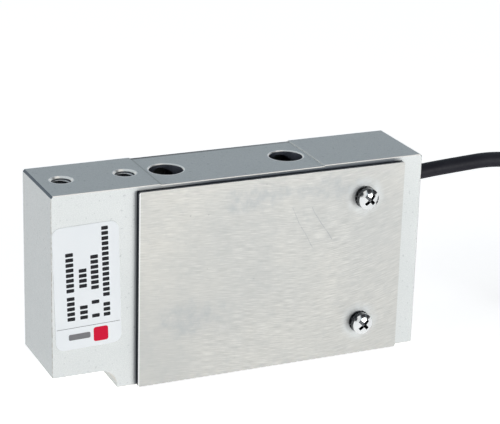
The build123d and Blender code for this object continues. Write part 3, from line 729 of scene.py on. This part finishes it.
def make_cable(made):
    """The whole cable as one smooth line: its free run, then the hank's turns to its end."""
    points = CABLE_ROUTE + hank_points()
    points.append((TAIL_END, HANK_Y - WAIST_OFFSETS[1], LAYER_FLOOR + 2 * CABLE_DIAMETER))
    curve = bpy.data.curves.new("cable", "CURVE")
    curve.dimensions = "3D"
    curve.bevel_depth = CABLE_DIAMETER / 2 * MM
    curve.bevel_resolution = 5
    curve.resolution_u = 6
    curve.use_fill_caps = True
    spline = curve.splines.new("NURBS")
    spline.points.add(len(points) - 1)
    for point, place in zip(spline.points, points):
        point.co = (*(Vector(place) * MM), 1.0)
    spline.order_u = 3
    spline.use_endpoint_u = True
    curve.materials.append(made)
    cable = link(bpy.data.objects.new("cable", curve))
    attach(cable, "root")
    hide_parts("signal_cable", "cable_hank")


def make_thread(x, made):
    """Helical thread in the wall of a load hole."""
    around = 40
    per_pitch = 6
    rows = int(THREAD_LENGTH / THREAD_PITCH * per_pitch)
    points = []
    for row in range(rows + 1):
        for i in range(around):
            turn = i / around
            phase = (row / per_pitch + turn + THREAD_START) % 1.0
            cut = 1 - abs(2 * phase - 1)
            radius = THREAD_RADIUS - THREAD_DEPTH * cut * min(1.0, 2 * row / per_pitch)
            a = 2 * math.pi * turn
            z = THREAD_TOP - row * THREAD_PITCH / per_pitch
            points.append((x + radius * math.cos(a), radius * math.sin(a), z))
    faces = []
    for row in range(rows):
        for i in range(around):
            j = (i + 1) % around
            low = row * around
            faces.append((low + i, low + j, low + around + j, low + around + i))
    obj = new_mesh(f"load_hole_thread_{x:.0f}".replace("-", "m"), points, faces, made)


def on_label(across, up):
    """Place in the model of a point on the label's face."""
    a = math.radians(LABEL_TILT)
    x = across * math.cos(a) - up * math.sin(a)
    z = across * math.sin(a) + up * math.cos(a)
    return (LABEL_CENTRE[0] + x, LABEL_CENTRE[1] - LABEL_RAISE, LABEL_CENTRE[2] + z)


def rounded_patch(across, up, width, height, radius):
    """Corners of a rectangle with round corners on the label."""
    points = []
    for sx, sz, start in ((1, 1, 0), (-1, 1, 90), (-1, -1, 180), (1, -1, 270)):
        for step in range(5):
            a = math.radians(start + 22.5 * step)
            points.append(
                on_label(
                    across + sx * (width / 2 - radius) + radius * math.cos(a),
                    up + sz * (height / 2 - radius) + radius * math.sin(a),
                )
            )
    return points


def print_patch(name, patches, made):
    """Several flat printed shapes as one piece."""
    points = []
    faces = []
    for patch in patches:
        faces.append(tuple(range(len(points), len(points) + len(patch))))
        points += patch
    obj = new_mesh(name, points, faces, made, smooth=False)


def make_label_print():
    """Plain bars, a dividing line and a plain badge on the label."""
    bars = []
    for across, width, runs in LABEL_LINES:
        for start, count in runs:
            for i in range(count):
                up = start + LABEL_BLOCK_PITCH * i + LABEL_BLOCK_LENGTH / 2
                bars.append(rounded_patch(across, up, width, LABEL_BLOCK_LENGTH, 0.25))
    print_patch("label_bars", bars, ink("ink_black", (0.01, 0.01, 0.013)))
    line = rounded_patch(0, LABEL_DIVIDER_Z, *LABEL_DIVIDER, 0.05)
    bar = rounded_patch(*LABEL_BAR, 0.5)
    print_patch("label_line", [line, bar], ink("ink_grey", (0.2, 0.2, 0.21)))
    across, up, size = LABEL_BADGE
    badge = rounded_patch(across, up, size, size, 0.7)
    print_patch("label_badge", [badge], ink("ink_red", (0.67, 0.0, 0.034)))


def make_world():
    """Studio surround: white to the camera near the horizon, darker overhead, and dim as a light."""
    world = bpy.data.worlds.new("studio")
    bpy.context.scene.world = world
    n = Nodes(world)
    ray = n.add("ShaderNodeTexCoord").outputs["Generated"]
    height = n.add("ShaderNodeSeparateXYZ", {"Vector": ray}).outputs["Z"]
    light = n.mix(n.fit(height, 0.05, 0.75), rgba(*SKY_LOW), rgba(*SKY_HIGH))
    seen = n.mix(n.fit(height, 0.06, 0.42), rgba(1, 1, 1), rgba(*CEILING))
    right = n.add("ShaderNodeSeparateXYZ", {"Vector": ray}).outputs["X"]
    behind = n.add("ShaderNodeSeparateXYZ", {"Vector": ray}).outputs["Y"]
    flag = n.math("MULTIPLY", n.fit(right, 0.5, 0.75), n.fit(height, 0.02, 0.1))
    flag = n.math("MULTIPLY", flag, n.fit(behind, 0.1, 0.3, 1.0, 0.0))
    seen = n.mix(flag, seen, rgba(*FLAG))
    box = n.add("ShaderNodeVectorMath", {1: SOFTBOX}, operation="DOT_PRODUCT")
    n.tree.links.new(ray, box.inputs[0])
    seen = n.mix(n.fit(box.outputs["Value"], 0.90, 0.95), seen, rgba(1, 1, 1))
    box = n.add("ShaderNodeVectorMath", {1: OVERHEAD}, operation="DOT_PRODUCT")
    n.tree.links.new(ray, box.inputs[0])
    seen = n.mix(n.fit(box.outputs["Value"], 0.94, 0.97), seen, rgba(1, 1, 1))
    for towards in DARK_CARDS:
        card = n.add("ShaderNodeVectorMath", {1: towards}, operation="DOT_PRODUCT")
        n.tree.links.new(ray, card.inputs[0])
        seen = n.mix(n.fit(card.outputs["Value"], 0.94, 0.96), seen, rgba(*FLAG))
    colour = n.mix(seen_ray(n), light, seen)
    shader = n.add("ShaderNodeBackground", {"Color": colour, "Strength": 1.0})
    out = n.add("ShaderNodeOutputWorld")
    n.tree.links.new(shader.outputs[0], out.inputs["Surface"])


def seen_ray(n):
    """1 for rays by which the camera, gloss or glass sees the surround."""
    path = n.add("ShaderNodeLightPath").outputs
    either = n.math("MAXIMUM", path["Is Camera Ray"], path["Is Glossy Ray"])
    return n.math("MAXIMUM", either, path["Is Transmission Ray"])


def make_light(name, place, target, size, power, colour):
    """Square area light that faces a point."""
    data = bpy.data.lights.new(name, "AREA")
    data.size = size
    data.energy = power
    data.color = colour
    light = link(bpy.data.objects.new(name, data))
    light.location = place
    towards = Vector(target) - Vector(place)
    light.rotation_euler = towards.to_track_quat("-Z", "Y").to_euler()


def make_floor():
    """Pale floor that keeps the load cell's shadow."""
    side = 3.0
    points = [(-side, -side, 0), (side, -side, 0), (side, side, 0), (-side, side, 0)]
    mesh = bpy.data.meshes.new("floor")
    mesh.from_pydata(points, [], [(0, 1, 2, 3)])
    floor = link(bpy.data.objects.new("floor", mesh))
    made, n = material("floor")
    tone = n.mix(n.noise(3, 2.0), rgba(0.80, 0.80, 0.80), rgba(0.82, 0.82, 0.82))
    diffuse = n.add("ShaderNodeBsdfDiffuse", {"Color": tone})
    glow = n.add("ShaderNodeEmission", {"Strength": n.math("MULTIPLY", seen_ray(n), FLOOR_GLOW)})
    both = n.add("ShaderNodeAddShader")
    n.tree.links.new(diffuse.outputs[0], both.inputs[0])
    n.tree.links.new(glow.outputs[0], both.inputs[1])
    out = n.add("ShaderNodeOutputMaterial")
    n.tree.links.new(both.outputs[0], out.inputs["Surface"])
    mesh.materials.append(made)
    floor.visible_shadow = False


def dress_nodes(jacket):
    """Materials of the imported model's own nodes."""
    aluminium = anodised_aluminium()
    cover = brushed_cover()
    plated = fastener_steel("plated_screw", (0.74, 0.75, 0.75), 0.14)
    washer = fastener_steel("washer_steel", (0.30, 0.31, 0.33), 0.25)
    pad = plain_metal("pad_steel", (0.5, 0.5, 0.5), 0.4)
    blackened = plain_metal("blackened_steel", (0.08, 0.08, 0.09), 0.4)
    brass = plain_metal("turned_brass", (0.72, 0.52, 0.24), 0.25)
    film = plastic("gauge_film", (0.6, 0.3, 0.06), 0.3, coat=0.4)
    enamel = plastic("lead_enamel", (0.5, 0.08, 0.04), 0.3)
    laminate = plastic("board_laminate", (0.02, 0.2, 0.07), 0.4)
    glaze = plastic("resistor_glaze", (0.03, 0.03, 0.03), 0.3)
    rubber = plastic("sleeve_rubber", (0.02, 0.02, 0.022), 0.7, 2200, 0.4)
    strap = plastic("tie_strap", (0.02, 0.02, 0.022), 0.6, 2600, 0.5)
    shrink = plastic("shrink_sleeve", (0.014, 0.014, 0.015), 0.45)
    cores = {
        "red": (0.5, 0.02, 0.02),
        "green": (0.02, 0.28, 0.06),
        "white": (0.75, 0.75, 0.72),
        "blue": (0.02, 0.07, 0.42),
    }
    looks = {
        "spring_body": aluminium,
        "front_cover": cover,
        "rear_cover": cover,
        "front_cover_pads": pad,
        "rear_cover_pads": pad,
        "front_cover_screws": plated,
        "rear_cover_screws": plated,
        "front_lock_washers": washer,
        "rear_lock_washers": washer,
        "front_plain_washers": washer,
        "rear_plain_washers": washer,
        "gauge_top_live": film,
        "gauge_top_fixed": film,
        "gauge_bottom_live": film,
        "gauge_bottom_fixed": film,
        "gauge_leads_top": enamel,
        "gauge_leads_bottom": enamel,
        "bridge_board": laminate,
        "board_screws": plated,
        "trim_resistors": glaze,
        "cable_sleeve": rubber,
        "cable_ferrule": brass,
        "cable_set_screw": blackened,
        "cable_inner_end": jacket,
        "rating_label": label_film(),
        "hank_tie": strap,
        "cable_end_sleeve": shrink,
    }
    for name, colour in cores.items():
        core = plastic("core_" + name, colour, 0.35)
        looks["inner_core_" + name] = core
        looks["end_core_" + name] = core
    for node, made in looks.items():
        dress(node, made)
    thread = cut_thread()
    for x in LOAD_HOLE_XS:
        make_thread(x, thread)


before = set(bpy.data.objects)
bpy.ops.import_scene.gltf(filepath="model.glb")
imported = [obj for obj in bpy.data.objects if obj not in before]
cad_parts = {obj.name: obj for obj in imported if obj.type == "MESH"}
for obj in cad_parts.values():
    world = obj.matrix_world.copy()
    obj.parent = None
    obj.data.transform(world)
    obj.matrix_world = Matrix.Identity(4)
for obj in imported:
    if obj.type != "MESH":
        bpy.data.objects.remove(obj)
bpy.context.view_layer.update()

make_camera()
jacket = plastic("cable_jacket", (0.006, 0.006, 0.011), 0.55, 1800, 0.25, gloss=0.2)
make_cable(jacket)
dress_nodes(jacket)
make_label_print()
make_world()
for lamp in LAMPS:
    make_light(*lamp)
make_floor()
bpy.context.scene.view_settings.view_transform = "Standard"
